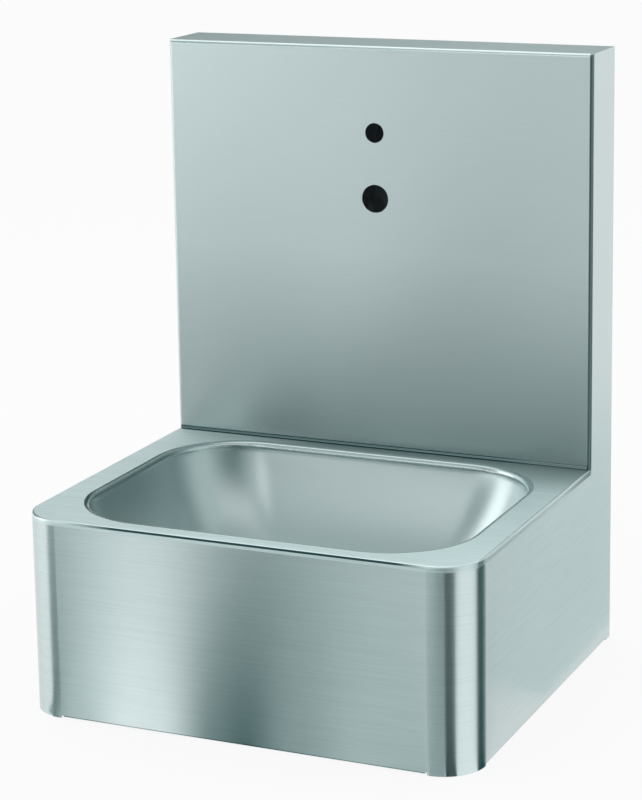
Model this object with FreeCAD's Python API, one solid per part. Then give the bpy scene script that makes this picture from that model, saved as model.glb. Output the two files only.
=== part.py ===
import FreeCAD, Part
import math
import os

# Wall-hung hand basin in stainless sheet: a deep bowl in a flat deck, an apron with
# rounded front corners and a tall box splashback with two round holes.
# Millimetres, +Z up, -Y to the user. The wall is the plane Y = 0 and the origin is
# the centre of the four wall fixings.

# Shell
overall_width = 400.0
overall_depth = 360.0
overall_height = 534.0
deck_height = 172.0
splash_depth = 62.0
sheet = 1.2
corner_radius = 36.0
bend_inside_radius = 1.8
rim_inside_radius = 0.6
rim_land = 3.0
cove_radius = 3.0
cove_land = 0.2
rear_return = 12.0

# Folded lower edge of the apron; its rounded corners are not folded and hang lower
bottom_return = 12.0
bottom_inside_radius = 0.4
corner_drop = 0.8
relief_width = 2.0

# Holes in the splashback
sensor_hole_diameter = 17.5
sensor_hole_below_top = 76.0
spout_hole_diameter = 25.0
hole_spacing = 58.5

# Bowl
deck_margin_side = 25.0
deck_margin_front = 15.0
deck_margin_back = 15.0
bowl_corner_radius = 75.0
lip_inside_radius = 3.8
lip_flat = 0.4
neck_land = 1.0
bowl_depth = 112.0
wall_slope = 12.0
wall_sections = 7
floor_around_drain = 19.5
floor_corner_straight = 2.5
dish_margin = 2.0
dish_drop = 6.0

# Sound pads on the bowl's sides
pad_thickness = 3.0
pad_below_deck = 25.0
pad_height = 45.0
pad_end_gap = 10.0

# Waste with a one and a quarter inch tail
tail_diameter = 41.91
tail_length = 22.0
waste_wall = 3.4
thread_relief_length = 3.0
thread_relief_depth = 1.2
drain_gap = 1.5
waste_flange_overlap = 9.0
waste_flange_thickness = 4.0
waste_flange_rim = 4.2
flange_below_dish = 0.5
recess_gap = 1.5
seal_overlap = 10.0
upper_seal_thickness = 1.5
lower_seal_thickness = 3.0
friction_washer_thickness = 1.5
backnut_height = 9.0
backnut_wall = 6.0
cross_bar_width = 7.0
cross_bar_height = 8.0
boss_wall = 2.7

# Strainer
strainer_thickness = 2.2
strainer_hole_diameter = 4.6
strainer_hole_margin = 1.2
strainer_ring_pitch = 6.0
strainer_outer_holes = 12
strainer_inner_holes = 6
strainer_screw_diameter = 5.0
strainer_screw_length = 16.0
strainer_head_rim = 2.2
strainer_head_height = 2.4

# Wall plate, and the rails that the basin hangs on and is locked to
plate_sheet = 2.0
plate_inside_radius = 1.0
plate_side_gap = 30.0
plate_depth = 20.0
plate_above_bottom = 30.0
fixing_hole_diameter = 9.0
fixing_side_edge = 20.0
fixing_above_plate_bottom = 60.0
fixing_below_hook = 90.0
pipe_opening_width = 160.0
pipe_opening_height = 70.0
pipe_opening_radius = 12.0
pipe_opening_gap = 17.0
hook_below_top = 34.0
hook_height = 30.0
hook_depth = 12.0
hook_gap = 0.5
hanging_flange = 15.0
rail_end_gap = 4.0
lock_rail_above_plate_bottom = 10.0
lock_rail_height = 25.0
lock_rail_depth = 46.0
lock_gap = 0.5
tie_bar_gap = 4.0
tie_bar_height = 22.0

# Locking screws and earth stud
screw_diameter = 6.0
screw_clearance = 0.3
screw_head_rim = 2.25
screw_head_height = 4.0
lock_screw_length = 16.0
lock_screw_spacing = 200.0
washer_rim = 3.0
washer_thickness = 1.6
nut_wall = 2.0
nut_height = 5.0
earth_stud_length = 16.0
earth_stud_from_side = 60.0

# Clearances, and how far a cutter runs past what it cuts
seat_clearance = 0.3
thread_clearance = 0.2
cut_margin = 1.0

# Heights, from the wall fixings
hook_above_bottom = overall_height - hook_below_top
lower_fixing_height = plate_above_bottom + fixing_above_plate_bottom
upper_fixing_height = hook_above_bottom - fixing_below_hook
fixing_z = (upper_fixing_height - lower_fixing_height) / 2
z_bottom = -(lower_fixing_height + upper_fixing_height) / 2
z_deck = z_bottom + deck_height
z_top = z_bottom + overall_height
z_deck_underside = z_deck - sheet
z_sensor = z_top - sensor_hole_below_top
z_spout = z_sensor - hole_spacing

# Planes and bends of the shell
half_width = overall_width / 2
y_front = -overall_depth
y_splash = -splash_depth
y_splash_inside = y_splash + sheet
bend_radius = bend_inside_radius + sheet
rim_radius = rim_inside_radius + sheet
z_rim = z_deck - rim_radius - rim_land
bottom_bend_radius = bottom_inside_radius + sheet

# Bowl, from its weld to the deck
bowl_x = half_width - deck_margin_side
bowl_y_front = y_front + deck_margin_front
bowl_y_back = y_splash - deck_margin_back
bowl_length = bowl_y_back - bowl_y_front
bowl_y = (bowl_y_front + bowl_y_back) / 2
lip_radius = lip_inside_radius + sheet
lip_width = lip_radius + lip_flat
z_neck = z_deck - lip_radius - neck_land
z_floor = z_deck - bowl_depth
z_dish = z_floor - dish_drop

# Rings of the waste and the drain
tail_radius = tail_diameter / 2
waste_bore_radius = tail_radius - waste_wall
drain_radius = tail_radius + drain_gap
waste_flange_radius = drain_radius + waste_flange_overlap
seal_radius = drain_radius + seal_overlap
seal_bore_radius = tail_radius + thread_clearance
recess_radius = waste_flange_radius + recess_gap

# Bowl's floor, and how far the walls come in to it
floor_y = recess_radius + floor_around_drain
floor_corner_radius = floor_y - floor_corner_straight
wall_inset = bowl_length / 2 - lip_width - floor_y
dish_radius = floor_y - dish_margin

# Waste, from the bowl's drain down
recess_depth = upper_seal_thickness + waste_flange_thickness + flange_below_dish
z_recess = z_dish - recess_depth
z_drain_underside = z_recess - sheet
z_flange_bottom = z_recess + upper_seal_thickness
z_flange_top = z_flange_bottom + waste_flange_thickness
z_lower_seal = z_drain_underside - lower_seal_thickness
z_friction_washer = z_lower_seal - friction_washer_thickness
z_backnut = z_friction_washer - backnut_height
z_tail_top = z_backnut - thread_relief_length
z_tail_end = z_tail_top - tail_length
z_strainer = z_flange_top - strainer_thickness
strainer_seat_radius = waste_flange_radius - waste_flange_rim
strainer_radius = strainer_seat_radius - seat_clearance
strainer_screw_radius = strainer_screw_diameter / 2
strainer_outer_ring = waste_bore_radius - strainer_hole_margin - strainer_hole_diameter / 2
strainer_inner_ring = strainer_outer_ring - strainer_ring_pitch

# Wall plate and rails
plate_x = half_width - plate_side_gap
plate_bend_radius = plate_inside_radius + plate_sheet
fixing_x = plate_x - fixing_side_edge
z_plate = z_bottom + plate_above_bottom
z_hook = z_bottom + hook_above_bottom
y_hook_back = -plate_depth
y_hook_front = y_hook_back - plate_sheet
rail_x = plate_x - plate_sheet - rail_end_gap
z_lock = z_plate + lock_rail_above_plate_bottom
z_lock_top = z_lock + plate_sheet
z_pipe_opening = z_lock + lock_rail_height + pipe_opening_gap
y_lock_front = -lock_rail_depth
y_tie_back = -plate_depth - tie_bar_gap
z_tie = z_lock_top + lock_gap
z_tie_top = z_tie + plate_sheet

# Locking screws and earth stud
screw_radius = screw_diameter / 2
screw_hole_radius = screw_radius + screw_clearance
washer_radius = screw_radius + washer_rim
nut_across_flats = screw_diameter + 2 * nut_wall
lock_screw_x = (-lock_screw_spacing / 2, lock_screw_spacing / 2)
y_lock_screw = (y_lock_front + y_tie_back) / 2
z_lock_washer = z_lock - washer_thickness
earth_x = half_width - earth_stud_from_side
z_earth = z_tie + (plate_sheet + tie_bar_height) / 2
y_earth_nut = y_lock_front - washer_thickness


def block(x0, x1, y0, y1, z0, z1):
    return Part.makeBox(x1 - x0, y1 - y0, z1 - z0, FreeCAD.Vector(x0, y0, z0))


def rod(radius, z0, z1, x, y):
    return Part.makeCylinder(radius, z1 - z0, FreeCAD.Vector(x, y, z0))


def rod_along_y(radius, y0, y1, x, z):
    start = FreeCAD.Vector(x, y0, z)
    return Part.makeCylinder(radius, y1 - y0, start, FreeCAD.Vector(0, 1, 0))


def tube(outer_radius, inner_radius, z0, z1, x, y):
    bore = rod(inner_radius, z0 - cut_margin, z1 + cut_margin, x, y)
    return rod(outer_radius, z0, z1, x, y).cut(bore)


def hexagon(across_flats, height):
    radius = across_flats / math.sqrt(3)
    corners = []
    for corner in range(7):
        angle = math.radians(60 * corner)
        corners.append(FreeCAD.Vector(radius * math.cos(angle), radius * math.sin(angle), 0))
    return Part.Face(Part.makePolygon(corners)).extrude(FreeCAD.Vector(0, 0, height))


def bar_along_x(half_length, outline):
    """A bar centred on X = 0 with a closed outline of (y, z) points."""
    corners = [FreeCAD.Vector(-half_length, y, z) for y, z in outline + outline[:1]]
    return Part.Face(Part.makePolygon(corners)).extrude(FreeCAD.Vector(2 * half_length, 0, 0))


def edges_in(shape, x=None, y=None, z=None):
    """The shape's edges that lie in every one of the given planes."""
    tolerance = 0.01
    found = []
    for edge in shape.Edges:
        box = edge.BoundBox
        spans = [(x, box.XMin, box.XMax), (y, box.YMin, box.YMax), (z, box.ZMin, box.ZMax)]
        given = [(plane, low, high) for plane, low, high in spans if plane is not None]
        if all(max(abs(low - plane), abs(high - plane)) < tolerance for plane, low, high in given):
            found.append(edge)
    return found


def rounded(shape, radius, *places):
    """The shape with its edges rounded at each place, a dictionary of planes."""
    edges = []
    for place in places:
        edges += edges_in(shape, **place)
    return shape.makeFillet(radius, edges)


def apron_prism(inset, y_back, z0, z1):
    """The apron's plan outline with its two front corners rounded."""
    x = half_width - inset
    y = y_front + inset
    body = block(-x, x, y, y_back, z0, z1)
    return rounded(body, corner_radius - inset, {"x": -x, "y": y}, {"x": x, "y": y})


def bottom_fold(length):
    """A folded lower edge along X from 0, with its outer face on Y = 0 and its underside on Z = 0."""
    wall = block(0, length, 0, sheet, 0, 2 * bottom_bend_radius)
    flange = block(0, length, 0, bottom_return, 0, sheet)
    fold = wall.fuse(flange).removeSplitter()
    fold = rounded(fold, bottom_bend_radius, {"y": 0, "z": 0})
    return rounded(fold, bottom_inside_radius, {"y": sheet, "z": sheet})


def apron():
    z_under = z_bottom - cut_margin
    outer = apron_prism(0, 0, z_bottom, z_deck_underside)
    outer = rounded(outer, bend_radius, {"x": -half_width, "y": 0}, {"x": half_width, "y": 0})
    outer = outer.cut(block(-half_width, half_width, y_front, y_splash_inside, z_rim, z_deck))
    inside = apron_prism(sheet, -sheet, z_under, z_deck)
    x_back = half_width - rear_return
    back = block(-x_back, x_back, -sheet - cut_margin, cut_margin, z_under, z_deck)
    shell = outer.cut(inside).cut(back)

    z_fold = z_bottom + corner_drop
    z_fold_top = z_fold + bottom_bend_radius
    x_run = half_width - corner_radius
    y_run_front = y_front + corner_radius
    y_run_back = -rear_return - relief_width
    shell = shell.cut(block(-x_run, x_run, y_front, y_front + sheet, z_bottom, z_fold_top))
    fold = bottom_fold(2 * (x_run - relief_width))
    fold.translate(FreeCAD.Vector(relief_width - x_run, y_front, z_fold))
    shell = shell.fuse(fold)
    x_inside = half_width - sheet
    for side in (-1, 1):
        x0, x1 = sorted((side * half_width, side * x_inside))
        shell = shell.cut(block(x0, x1, y_run_front, y_run_back, z_bottom, z_fold_top))
        fold = bottom_fold(y_run_back - y_run_front - 2 * relief_width)
        fold.rotate(FreeCAD.Vector(0, 0, 0), FreeCAD.Vector(0, 0, 1), 90 * side)
        y_start = y_run_front + relief_width if side > 0 else y_run_back - relief_width
        fold.translate(FreeCAD.Vector(side * half_width, y_start, z_fold))
        shell = shell.fuse(fold)
    return shell.removeSplitter()


def deck_form(inset, y_back, z0, z1, radius):
    """A low block of the deck's plan, with its upper edge rounded except at the back."""
    form = apron_prism(inset, y_back, z0, z1)
    rim = [edge for edge in edges_in(form, z=z1) if edge.BoundBox.YMin < y_back - sheet]
    return form.makeFillet(radius, rim)


def deck_outside():
    """The deck and its turned-down rim, filled in below."""
    return deck_form(0, y_splash_inside, z_rim, z_deck, rim_radius)


def splash_outside():
    """The splashback's box; the two end edges of its top are welded and stay sharp."""
    box = block(-half_width, half_width, y_splash, 0, z_deck_underside, z_top)
    upright = [{"x": x, "y": y} for x in (-half_width, half_width) for y in (y_splash, 0)]
    level = [{"y": y, "z": z_top} for y in (y_splash, 0)]
    return rounded(box, bend_radius, *upright, *level)


def splash_inside():
    """The hollow in the splashback's box."""
    x = half_width - sheet
    z = z_top - sheet
    box = block(-x, x, y_splash_inside, -sheet, z_deck_underside - cut_margin, z)
    upright = [{"x": -x, "y": y_splash_inside}, {"x": x, "y": y_splash_inside}]
    return rounded(box, bend_inside_radius, *upright, {"y": y_splash_inside, "z": z})


def splash_cove():
    """The weld along the splashback's foot, dressed to a hollow curve."""
    x = half_width - bend_radius
    y = y_splash - cove_radius - cove_land
    z = z_deck + cove_radius + cove_land
    weld = block(-x, x, y, y_splash, z_deck, z)
    return weld.cut(Part.makeCylinder(cove_radius, 2 * x, FreeCAD.Vector(-x, y, z), FreeCAD.Vector(1, 0, 0)))


def splashback():
    x_back = half_width - rear_return
    z_under = z_deck_underside - cut_margin
    back = block(-x_back, x_back, -sheet - cut_margin, cut_margin, z_under, z_top - rear_return)
    shell = splash_outside().cut(splash_inside()).cut(back).cut(deck_outside())
    shell = shell.fuse(splash_cove()).removeSplitter()
    y0 = y_splash - cut_margin
    y1 = y_splash_inside + cut_margin
    spout_hole = rod_along_y(spout_hole_diameter / 2, y0, y1, 0, z_spout)
    sensor_hole = rod_along_y(sensor_hole_diameter / 2, y0, y1, 0, z_sensor)
    return shell.cut(spout_hole).cut(sensor_hole)


def rounded_outline(x, y, radius, z):
    """A level rounded rectangle about the bowl's middle, from its half sizes."""
    bevel = radius * (1 - math.sqrt(0.5))
    line_ends = [
        ((x, radius - y), (x, y - radius)),
        ((x - radius, y), (radius - x, y)),
        ((-x, y - radius), (-x, radius - y)),
        ((radius - x, -y), (x - radius, -y)),
    ]
    arc_middles = [(x - bevel, y - bevel), (bevel - x, y - bevel), (bevel - x, bevel - y), (x - bevel, bevel - y)]
    edges = []
    for side in range(4):
        start, end = [FreeCAD.Vector(i, bowl_y + j, z) for i, j in line_ends[side]]
        next_start = line_ends[(side + 1) % 4][0]
        bend_end = FreeCAD.Vector(next_start[0], bowl_y + next_start[1], z)
        bend_middle = FreeCAD.Vector(arc_middles[side][0], bowl_y + arc_middles[side][1], z)
        edges.append(Part.makeLine(start, end))
        edges.append(Part.Arc(end, bend_middle, bend_end).toShape())
    return Part.Wire(edges)


def bowl_prism(inset, z0, z1):
    """The bowl's plan outline, inset from its weld to the deck."""
    outline = rounded_outline(bowl_x - inset, bowl_length / 2 - inset, bowl_corner_radius - inset, z0)
    return Part.Face(outline).extrude(FreeCAD.Vector(0, 0, z1 - z0))


def deck():
    y_open = y_splash_inside + cut_margin
    hollow = deck_form(sheet, y_open, z_rim - cut_margin, z_deck_underside, rim_inside_radius)
    plate = deck_outside().cut(hollow)
    return plate.cut(bowl_prism(0, z_deck_underside - cut_margin, z_deck + cut_margin))


def bowl_tub(inset, z_under, z_over):
    """A block of the bowl's shape: an upright neck, then walls that slope and curve in to the floor."""
    fall = z_neck - z_under
    slope = math.tan(math.radians(wall_slope))
    curve_inset = wall_inset - fall * slope
    corner_loss = (bowl_corner_radius - lip_width - floor_corner_radius) / wall_inset
    outlines = []
    for section in range(wall_sections):
        turn = math.pi / 2 * section / (wall_sections - 1)
        drop = fall * math.sin(turn)
        come_in = drop * slope + curve_inset * (1 - math.cos(turn))
        x = bowl_x - inset - come_in
        y = bowl_length / 2 - inset - come_in
        radius = bowl_corner_radius - inset - come_in * corner_loss
        outlines.append(rounded_outline(x, y, radius, z_neck - drop))
    walls = Part.makeLoft(outlines, True)
    return bowl_prism(inset, z_neck, z_over).fuse(walls)


def bowl_edges(shape, z):
    """The level edges of a bowl that lie inside its weld to the deck."""
    found = []
    for edge in edges_in(shape, z=z):
        box = edge.BoundBox
        within_x = max(-box.XMin, box.XMax) < bowl_x - lip_flat
        within_y = box.YMin > bowl_y_front + lip_flat and box.YMax < bowl_y_back - lip_flat
        if within_x and within_y:
            found.append(edge)
    return found


def bowl_dish(drop):
    """The shallow cone that falls from the floor to the drain, lowered by the drop."""
    return Part.makeCone(recess_radius, dish_radius, dish_drop, FreeCAD.Vector(0, bowl_y, z_dish - drop))


def bowl():
    flange = bowl_prism(0, z_deck_underside, z_deck)
    outside = bowl_tub(lip_width - sheet, z_floor - sheet, z_deck_underside)
    body = flange.fuse(outside)
    body = body.makeFillet(lip_inside_radius, bowl_edges(body, z_deck_underside))
    body = body.cut(bowl_tub(lip_width, z_floor, z_deck + cut_margin))
    body = body.makeFillet(lip_radius, bowl_edges(body, z_deck))
    body = body.fuse(bowl_dish(sheet))
    body = body.fuse(rod(recess_radius + sheet, z_drain_underside, z_dish, 0, bowl_y))
    body = body.cut(bowl_dish(0))
    body = body.cut(rod(recess_radius, z_recess, z_dish, 0, bowl_y))
    body = body.cut(rod(drain_radius, z_drain_underside - cut_margin, z_dish, 0, bowl_y))
    return body.removeSplitter()


def sound_pads():
    """Mats on the outside of the bowl's two side walls, curved to lie on them."""
    inset = lip_width - sheet
    z_under = z_floor - sheet
    mats = bowl_tub(inset - pad_thickness, z_under, z_deck_underside)
    mats = mats.cut(bowl_tub(inset, z_under, z_deck_underside))
    y0 = bowl_y_front + bowl_corner_radius + pad_end_gap
    y1 = bowl_y_back - bowl_corner_radius - pad_end_gap
    z1 = z_deck - pad_below_deck
    pads = []
    for side in (-1, 1):
        x0, x1 = sorted((0, side * half_width))
        pads.append(mats.common(block(x0, x1, y0, y1, z1 - pad_height, z1)))
    return Part.makeCompound(pads)


def waste_body():
    flange = rod(waste_flange_radius, z_flange_bottom, z_flange_top, 0, bowl_y)
    tail = rod(tail_radius, z_tail_end, z_flange_bottom, 0, bowl_y)
    relief_radius = tail_radius - thread_relief_depth
    relief = rod(tail_radius + cut_margin, z_tail_top, z_backnut, 0, bowl_y)
    relief = relief.cut(rod(relief_radius, z_tail_top, z_backnut, 0, bowl_y))
    seat = rod(strainer_seat_radius, z_strainer, z_flange_top + cut_margin, 0, bowl_y)
    bore = rod(waste_bore_radius, z_tail_end - cut_margin, z_strainer + cut_margin, 0, bowl_y)
    shell = flange.fuse(tail).cut(relief).cut(seat).cut(bore)
    reach = waste_bore_radius + waste_wall / 2
    half_bar = cross_bar_width / 2
    z_bar = z_strainer - cross_bar_height
    bar = block(-reach, reach, bowl_y - half_bar, bowl_y + half_bar, z_bar, z_strainer)
    screw_hole = strainer_screw_radius + seat_clearance
    boss = rod(screw_hole + boss_wall, z_bar, z_strainer, 0, bowl_y)
    hole = rod(screw_hole, z_bar - cut_margin, z_strainer + cut_margin, 0, bowl_y)
    return shell.fuse(bar.fuse(boss)).cut(hole).removeSplitter()


def waste_upper_seal():
    return tube(waste_flange_radius, seal_bore_radius, z_recess, z_flange_bottom, 0, bowl_y)


def waste_lower_seal():
    return tube(seal_radius, seal_bore_radius, z_lower_seal, z_drain_underside, 0, bowl_y)


def waste_friction_washer():
    return tube(seal_radius, seal_bore_radius, z_friction_washer, z_lower_seal, 0, bowl_y)


def waste_backnut():
    nut = hexagon(tail_diameter + 2 * backnut_wall, backnut_height)
    nut.translate(FreeCAD.Vector(0, bowl_y, z_backnut))
    z1 = z_friction_washer + cut_margin
    return nut.cut(rod(seal_bore_radius, z_backnut - cut_margin, z1, 0, bowl_y))


def strainer_plate():
    z0 = z_strainer - cut_margin
    z1 = z_flange_top + cut_margin
    plate = rod(strainer_radius, z_strainer, z_flange_top, 0, bowl_y)
    plate = plate.cut(rod(strainer_screw_radius + thread_clearance, z0, z1, 0, bowl_y))
    rings = [(strainer_outer_ring, strainer_outer_holes), (strainer_inner_ring, strainer_inner_holes)]
    for ring_radius, count in rings:
        for hole in range(count):
            angle = 2 * math.pi * hole / count
            x = ring_radius * math.cos(angle)
            y = bowl_y + ring_radius * math.sin(angle)
            plate = plate.cut(rod(strainer_hole_diameter / 2, z0, z1, x, y))
    return plate


def strainer_screw():
    head_radius = strainer_screw_radius + strainer_head_rim
    head = rod(head_radius, z_flange_top, z_flange_top + strainer_head_height, 0, bowl_y)
    z_end = z_flange_top - strainer_screw_length
    return head.fuse(rod(strainer_screw_radius, z_end, z_flange_top, 0, bowl_y))


def hanging_rail():
    """Folded rail on the back of the splashback's panel; its rear leg drops behind the hook rail."""
    y_flange = y_splash_inside + plate_sheet
    y_leg = y_hook_back + hook_gap
    y_back = y_leg + plate_sheet
    z_web = z_hook + plate_sheet
    z_flange_end = z_web - hanging_flange
    z_leg_end = z_hook - hook_depth
    outline = [
        (y_splash_inside, z_flange_end),
        (y_splash_inside, z_web),
        (y_back, z_web),
        (y_back, z_leg_end),
        (y_leg, z_leg_end),
        (y_leg, z_hook),
        (y_flange, z_hook),
        (y_flange, z_flange_end),
    ]
    rail = bar_along_x(rail_x - rail_end_gap, outline)
    folds = [{"y": y_splash_inside, "z": z_web}, {"y": y_back, "z": z_web}]
    return rounded(rail, plate_bend_radius, *folds)


def tie_bar():
    """Angle between the apron's two sides, over the lock rail."""
    y_upright = y_lock_front + plate_sheet
    z_upright = z_tie + tie_bar_height
    outline = [
        (y_lock_front, z_tie),
        (y_tie_back, z_tie),
        (y_tie_back, z_tie_top),
        (y_upright, z_tie_top),
        (y_upright, z_upright),
        (y_lock_front, z_upright),
    ]
    bar = bar_along_x(half_width - sheet, outline)
    bar = rounded(bar, plate_bend_radius, {"y": y_lock_front, "z": z_tie})
    for x in lock_screw_x:
        bar = bar.cut(rod(screw_hole_radius, z_tie - cut_margin, z_tie_top + cut_margin, x, y_lock_screw))
    return bar


def weld_nuts():
    z1 = z_tie_top + nut_height
    nuts = []
    for x in lock_screw_x:
        nut = hexagon(nut_across_flats, nut_height)
        nut.translate(FreeCAD.Vector(x, y_lock_screw, z_tie_top))
        bore = rod(screw_hole_radius, z_tie_top - cut_margin, z1 + cut_margin, x, y_lock_screw)
        nuts.append(nut.cut(bore))
    return Part.makeCompound(nuts)


def earth_stud():
    return rod_along_y(screw_radius, y_lock_front - earth_stud_length, y_lock_front, earth_x, z_earth)


def earth_washer():
    disc = rod_along_y(washer_radius, y_earth_nut, y_lock_front, earth_x, z_earth)
    return disc.cut(rod_along_y(screw_hole_radius, y_earth_nut, y_lock_front, earth_x, z_earth))


def earth_nut():
    nut = hexagon(nut_across_flats, nut_height)
    nut.rotate(FreeCAD.Vector(0, 0, 0), FreeCAD.Vector(1, 0, 0), 90)
    nut.translate(FreeCAD.Vector(earth_x, y_earth_nut, z_earth))
    return nut.cut(rod_along_y(screw_hole_radius, y_earth_nut - nut_height, y_earth_nut, earth_x, z_earth))


def wall_plate():
    """Tray against the wall with its two sides folded forward."""
    plate = block(-plate_x, plate_x, -plate_depth, 0, z_plate, z_hook)
    plate = rounded(plate, plate_bend_radius, {"x": -plate_x, "y": 0}, {"x": plate_x, "y": 0})
    x = plate_x - plate_sheet
    y = -plate_sheet
    hollow = block(-x, x, -plate_depth - cut_margin, y, z_plate - cut_margin, z_hook + cut_margin)
    plate = plate.cut(rounded(hollow, plate_inside_radius, {"x": -x, "y": y}, {"x": x, "y": y}))
    y_cut = -plate_sheet - cut_margin
    x_pipe = pipe_opening_width / 2
    z_pipe = z_pipe_opening + pipe_opening_height
    opening = block(-x_pipe, x_pipe, y_cut, cut_margin, z_pipe_opening, z_pipe)
    corners = [{"x": i, "z": j} for i in (-x_pipe, x_pipe) for j in (z_pipe_opening, z_pipe)]
    plate = plate.cut(rounded(opening, pipe_opening_radius, *corners))
    for x_hole in (-fixing_x, fixing_x):
        for z_hole in (-fixing_z, fixing_z):
            plate = plate.cut(rod_along_y(fixing_hole_diameter / 2, y_cut, cut_margin, x_hole, z_hole))
    return plate


def plate_hook_rail():
    z0 = z_hook - hook_height
    outline = [
        (-plate_sheet, z0),
        (-plate_sheet, z0 + plate_sheet),
        (y_hook_back, z0 + plate_sheet),
        (y_hook_back, z_hook),
        (y_hook_front, z_hook),
        (y_hook_front, z0),
    ]
    return rounded(bar_along_x(rail_x, outline), plate_bend_radius, {"y": y_hook_front, "z": z0})


def plate_lock_rail():
    y_leg = -2 * plate_sheet
    z_leg = z_lock + lock_rail_height
    outline = [
        (-plate_sheet, z_lock),
        (-plate_sheet, z_leg),
        (y_leg, z_leg),
        (y_leg, z_lock_top),
        (y_lock_front, z_lock_top),
        (y_lock_front, z_lock),
    ]
    rail = rounded(bar_along_x(rail_x, outline), plate_bend_radius, {"y": -plate_sheet, "z": z_lock})
    for x in lock_screw_x:
        rail = rail.cut(rod(screw_hole_radius, z_lock - cut_margin, z_lock_top + cut_margin, x, y_lock_screw))
    return rail


def locking_screws():
    head_radius = screw_radius + screw_head_rim
    screws = []
    for x in lock_screw_x:
        head = rod(head_radius, z_lock_washer - screw_head_height, z_lock_washer, x, y_lock_screw)
        shank = rod(screw_radius, z_lock_washer, z_lock_washer + lock_screw_length, x, y_lock_screw)
        screws.append(head.fuse(shank))
    return Part.makeCompound(screws)


def locking_washers():
    washers = []
    for x in lock_screw_x:
        washers.append(tube(washer_radius, screw_hole_radius, z_lock_washer, z_lock, x, y_lock_screw))
    return Part.makeCompound(washers)


pieces = [
    apron,
    splashback,
    deck,
    bowl,
    sound_pads,
    hanging_rail,
    tie_bar,
    weld_nuts,
    earth_stud,
    earth_washer,
    earth_nut,
    waste_body,
    waste_upper_seal,
    waste_lower_seal,
    waste_friction_washer,
    waste_backnut,
    strainer_plate,
    strainer_screw,
    wall_plate,
    plate_hook_rail,
    plate_lock_rail,
    locking_screws,
    locking_washers,
]

os.makedirs("parts", exist_ok=True)
for piece in pieces:
    piece().exportStep("parts/" + piece.__name__ + ".step")
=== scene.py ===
import math
import bmesh
import bpy
from mathutils import Matrix, Vector


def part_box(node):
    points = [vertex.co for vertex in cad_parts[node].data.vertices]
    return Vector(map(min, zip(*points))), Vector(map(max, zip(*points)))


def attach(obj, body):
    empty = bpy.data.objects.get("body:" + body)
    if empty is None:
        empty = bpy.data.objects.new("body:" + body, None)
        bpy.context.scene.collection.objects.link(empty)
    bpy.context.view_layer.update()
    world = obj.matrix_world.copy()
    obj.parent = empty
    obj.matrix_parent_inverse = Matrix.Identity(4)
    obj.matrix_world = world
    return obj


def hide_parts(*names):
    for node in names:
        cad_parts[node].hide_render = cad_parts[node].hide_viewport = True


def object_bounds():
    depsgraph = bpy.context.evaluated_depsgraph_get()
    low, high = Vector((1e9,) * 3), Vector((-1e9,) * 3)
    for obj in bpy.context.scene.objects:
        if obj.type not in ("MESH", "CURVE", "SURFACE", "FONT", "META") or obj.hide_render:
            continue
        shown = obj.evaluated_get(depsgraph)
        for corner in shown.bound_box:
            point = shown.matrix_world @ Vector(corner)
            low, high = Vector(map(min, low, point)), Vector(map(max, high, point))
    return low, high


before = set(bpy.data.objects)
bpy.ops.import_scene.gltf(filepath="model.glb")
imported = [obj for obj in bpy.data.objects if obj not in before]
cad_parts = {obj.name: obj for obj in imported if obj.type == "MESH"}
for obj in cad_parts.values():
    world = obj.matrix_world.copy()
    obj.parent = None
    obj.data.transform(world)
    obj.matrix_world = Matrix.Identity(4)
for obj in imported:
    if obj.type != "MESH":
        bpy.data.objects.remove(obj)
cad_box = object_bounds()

# Looks of a hand basin: finishes, with painted light and shade in some, fine details on its solids, a white
# studio and the camera

MM = 0.001


def millimetres(*points):
    """Points given in millimetres, in metres."""
    return [tuple(value * MM for value in point) for point in points]


def spaced(first, last, steps):
    """Even steps from the first value to the last."""
    return [first + (last - first) * step / steps for step in range(steps + 1)]


# Camera, from the straight edges of the object
PIVOT = Vector((0, -0.16, -0.05))
CAMERA_AZIMUTH = math.radians(24.080)
CAMERA_ELEVATION = math.radians(12.281)
CAMERA_ROLL = math.radians(-0.909)
CAMERA_DISTANCE = 2.18672
CAMERA_RIGHT = -0.01108
CAMERA_UP = 0.12544
LENS = 114.0
SENSOR_WIDTH = 36.0
SHIFT_Y = -0.125
CLIP_END = 100.0

# Places on the object; the splashback's front and the corners' radius are those of the solids
APRON_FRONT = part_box("apron")[0].y
HALF_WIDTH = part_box("apron")[1].x
DECK_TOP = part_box("deck")[1].z
SPLASH_FRONT = -62 * MM
CORNER_RADIUS = 36 * MM
CORNER_X = HALF_WIDTH - CORNER_RADIUS
CORNER_Y = APRON_FRONT + CORNER_RADIUS

# Bowl: its sheet, the corner at its weld to the deck, its lip, walls, floor and drain
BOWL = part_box("bowl")
BOWL_STEPS = 256
LIP_STEPS = 10
WALL_STEPS = 48
SHEET = 1.2 * MM
BOWL_CORNER = 75.0 * MM
LIP_FLAT = 0.4 * MM
LIP_RADIUS = 5.0 * MM
NECK_LAND = 1.0 * MM
BOWL_DEPTH = 112.0 * MM
WALL_SLOPE = math.tan(math.radians(12.0))
FLOOR_CORNER = 49.955 * MM
FLOOR_HALF_LENGTH = 52.455 * MM
DISH_RADIUS = 50.455 * MM
DISH_DROP = 6.0 * MM
RECESS_RADIUS = 32.955 * MM
RECESS_DEPTH = 6.0 * MM
DRAIN_RADIUS = 22.455 * MM
BOWL_NECK = DECK_TOP - LIP_RADIUS - NECK_LAND

# Colour of seams and of painted shade, and how far each place painted with shade goes towards it
SEAM_AND_PAINTED_SHADE_COLOUR = (0.025, 0.075, 0.08)
FOLD_SHADE = 0.55
RIM_SHADE = 0.4
STRIP_SHADE = 0.68
FOOT_SHADE = 0.78
BEND_SHADE = 0.8
DIM_SHADE = 0.33

# How far a band reaches with its soft ends, beside its half width
BAND_REACH = 4 / 3
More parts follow.
